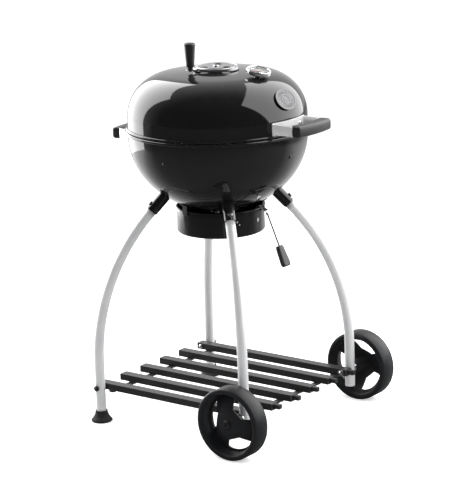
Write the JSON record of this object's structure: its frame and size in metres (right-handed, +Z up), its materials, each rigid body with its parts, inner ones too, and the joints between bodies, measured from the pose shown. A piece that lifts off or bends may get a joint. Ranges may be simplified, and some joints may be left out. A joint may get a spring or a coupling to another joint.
{
  "type": "kettle charcoal grill",
  "caption": "Charcoal kettle grill: enamelled bowl and lid with vent, thermometer and grips, ash pot with air lever, on curved tube legs with a slatted shelf, wheels and feet.",
  "frame": {"origin": "centre of the grill's footprint box on the floor, 13 mm behind which stands the kettle's vertical axis", "axes": "+Z up; -Y is the front, the side with the lid grip, badge, air lever and wheels; X runs along the wheel axles"},
  "size_m": [0.7156, 0.7274, 1.1415],
  "materials": {
    "enamel": "glossy vitreous enamel",
    "chrome": "polished",
    "brushed": "brushed",
    "plastic": "fine-grained moulding",
    "rubber": "matt",
    "aluminium": "satin",
    "black_steel": "satin black",
    "dial": "matt white print",
    "needle": "satin red",
    "glass": "clear"
  },
  "bodies": {
    "stand_and_bowl": {"bowl": "enamel", "bowl_rivets": "black_steel", "rear_strap": "chrome", "rear_strap_screws": "chrome", "rear_grip": "plastic", "grate_brackets": "black_steel", "charcoal_grate": "black_steel", "pot_clips": "black_steel", "leg_sockets": "enamel", "socket_bolts": "chrome", "leg_front_left": "aluminium", "leg_front_right": "aluminium", "leg_rear_left": "aluminium", "leg_rear_right": "aluminium", "foot_left": "rubber", "foot_right": "rubber", "slat_1": "black_steel", "slat_2": "black_steel", "slat_3": "black_steel", "slat_4": "black_steel", "slat_5": "black_steel", "slat_6": "black_steel", "slat_plugs": "plastic", "crossbar_front": "black_steel", "crossbar_rear": "black_steel", "shelf_screws": "chrome", "shelf_bolts": "chrome", "bolt_caps": "plastic", "axle_left": "chrome", "axle_right": "chrome", "axle_nuts": "chrome", "axle_washers": "chrome"},
    "lid": {"lid": "enamel", "lid_tabs": "chrome", "lid_strap": "chrome", "lid_strap_screws": "chrome", "lid_grip": "plastic", "badge": "brushed", "badge_studs": "chrome", "vent_pin": "chrome", "thermo_case": "chrome", "thermo_dial": "dial", "thermo_glass": "glass", "thermo_stem": "chrome", "thermo_nut": "chrome"},
    "vent": {"vent_disc": "brushed", "vent_grip": "plastic"},
    "needle": {"thermo_needle": "needle"},
    "grate": {"cooking_grate": "chrome"},
    "air_lever": {"sweeper": "black_steel", "sweeper_shaft": "black_steel", "sweeper_nut": "chrome", "lever_arm": "chrome", "lever_rod": "chrome", "lever_grip": "plastic"},
    "ash_pot": {"ash_pot": "enamel"},
    "left_wheel": {"wheel_left": "plastic", "hub_cap_left": "plastic"},
    "right_wheel": {"wheel_right": "plastic", "hub_cap_right": "plastic"}
  },
  "joints": [
    {"name": "lid_lift", "type": "slide", "parent": "stand_and_bowl", "child": "lid", "axis": [0, 0, 1], "range_m": [0, 0.3]},
    {"name": "vent_turn", "type": "hinge", "parent": "lid", "child": "vent", "pos_m": [0, 0.01316, 1.05575], "axis": [0, 0, 1], "range_deg": [0, 60]},
    {"name": "thermometer_needle", "type": "hinge", "parent": "lid", "child": "needle", "pos_m": [0, -0.14154, 1.05995], "axis": [0, -0.2079, 0.9781], "range_deg": [-250, 0]},
    {"name": "grate_lift", "type": "slide", "parent": "stand_and_bowl", "child": "grate", "axis": [0, 0, 1], "range_m": [0, 0.02]},
    {"name": "air_lever_swing", "type": "hinge", "parent": "stand_and_bowl", "child": "air_lever", "pos_m": [0, 0.01316, 0.63348], "axis": [0, 0, 1], "range_deg": [-32, 0]},
    {"name": "ash_pot_drop", "type": "slide", "parent": "stand_and_bowl", "child": "ash_pot", "axis": [0, 0, -1], "range_m": [0, 0.15]},
    {"name": "left_wheel_spin", "type": "hinge", "parent": "stand_and_bowl", "child": "left_wheel", "pos_m": [-0.29982, -0.25766, 0.106], "axis": [1, 0, 0], "continuous": true},
    {"name": "right_wheel_spin", "type": "hinge", "parent": "stand_and_bowl", "child": "right_wheel", "pos_m": [0.29982, -0.25766, 0.106], "axis": [1, 0, 0], "continuous": true}
  ]
}
